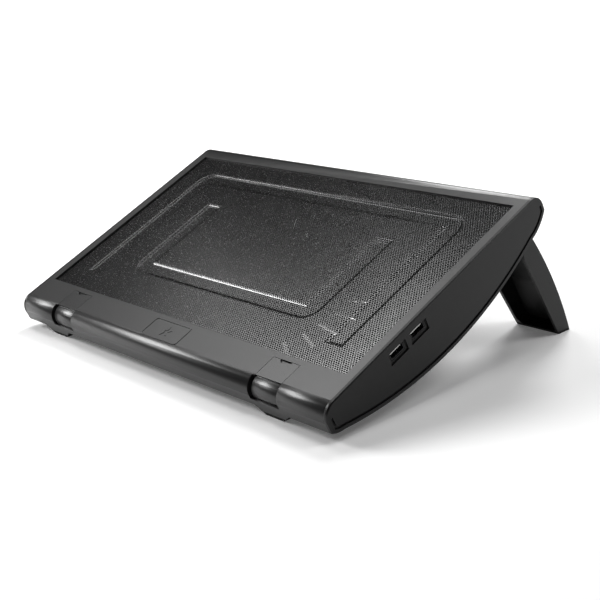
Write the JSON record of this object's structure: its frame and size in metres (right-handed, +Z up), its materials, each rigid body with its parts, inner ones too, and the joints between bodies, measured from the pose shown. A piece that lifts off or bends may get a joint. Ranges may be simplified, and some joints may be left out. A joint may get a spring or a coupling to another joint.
{
  "type": "laptop cooling pad",
  "caption": "Sloping laptop cooling pad: black bezel with a pressed steel mesh over a large fan, D-shaped ends, side sockets, flip-up front stops and fold-out rear legs.",
  "frame": {"origin": "on the ground, under the middle of the pad as it stands on its front feet and opened legs", "axes": "+X across the pad to its socket side, +Y from the low front edge to the raised rear, +Z up"},
  "size_m": [0.38, 0.2636, 0.1158],
  "materials": {
    "frame_abs": "moulded, fine satin texture",
    "base_abs": "moulded, fine satin texture",
    "cap_abs": "moulded, satin",
    "catch_abs": "moulded, satin",
    "leg_abs": "moulded, satin",
    "badge_plate": "moulded relief",
    "mesh_steel": "powder coated, perforated",
    "fan_abs": "moulded",
    "impeller_abs": "moulded, glossy",
    "rubber_feet": "moulded rubber",
    "pin_steel": "ground",
    "screw_steel": "black zinc",
    "bearing_brass": "sintered",
    "magnet_ferrite": "bonded ferrite",
    "stator_copper": "enamelled windings on laminated iron",
    "board_green": "solder mask",
    "socket_nickel": "black nickel plated",
    "socket_plastic": "moulded, white",
    "contact_gold": "gold plated",
    "lead_pvc": "extruded PVC"
  },
  "bodies": {
    "case": {"top_frame": "frame_abs", "mesh_panel": "mesh_steel", "badge": "badge_plate", "base_shell": "base_abs", "end_cap_left": "cap_abs", "end_cap_right": "cap_abs", "catch_pin_left": "pin_steel", "catch_pin_right": "pin_steel", "leg_pin_left": "pin_steel", "leg_pin_right": "pin_steel", "foot_pad_left": "rubber_feet", "foot_pad_right": "rubber_feet", "fan_frame": "fan_abs", "fan_bearing": "bearing_brass", "fan_board": "board_green", "fan_stator": "stator_copper", "usb_board": "board_green", "usb_shell_front": "socket_nickel", "usb_shell_rear": "socket_nickel", "usb_tongue_front": "socket_plastic", "usb_tongue_rear": "socket_plastic", "usb_contacts": "contact_gold", "case_screws": "screw_steel", "fan_screws": "screw_steel", "board_screws": "screw_steel", "fan_lead": "lead_pvc"},
    "catch_left": {"catch_left": "catch_abs"},
    "catch_right": {"catch_right": "catch_abs"},
    "leg_left": {"leg_left": "leg_abs", "leg_pad_left": "rubber_feet"},
    "leg_right": {"leg_right": "leg_abs", "leg_pad_right": "rubber_feet"},
    "fan_rotor": {"fan_impeller": "impeller_abs", "fan_shaft": "pin_steel", "fan_magnet": "magnet_ferrite"}
  },
  "joints": [
    {"name": "catch_left_hinge", "type": "hinge", "parent": "case", "child": "catch_left", "pos_m": [-0.1275, -0.12076, 0.01862], "axis": [1, 0, 0], "range_deg": [0, 90]},
    {"name": "catch_right_hinge", "type": "hinge", "parent": "case", "child": "catch_right", "pos_m": [0.1275, -0.12076, 0.01862], "axis": [1, 0, 0], "range_deg": [0, 90]},
    {"name": "leg_left_hinge", "type": "hinge", "parent": "case", "child": "leg_left", "pos_m": [-0.157, 0.07672, 0.09096], "axis": [1, 0, 0], "range_deg": [-86.3, 0]},
    {"name": "leg_right_hinge", "type": "hinge", "parent": "case", "child": "leg_right", "pos_m": [0.157, 0.07672, 0.09096], "axis": [1, 0, 0], "range_deg": [-86.3, 0]},
    {"name": "fan_spin", "type": "hinge", "parent": "case", "child": "fan_rotor", "pos_m": [0, -0.02858, 0.07009], "axis": [0, -0.3939, 0.9191], "continuous": true}
  ]
}
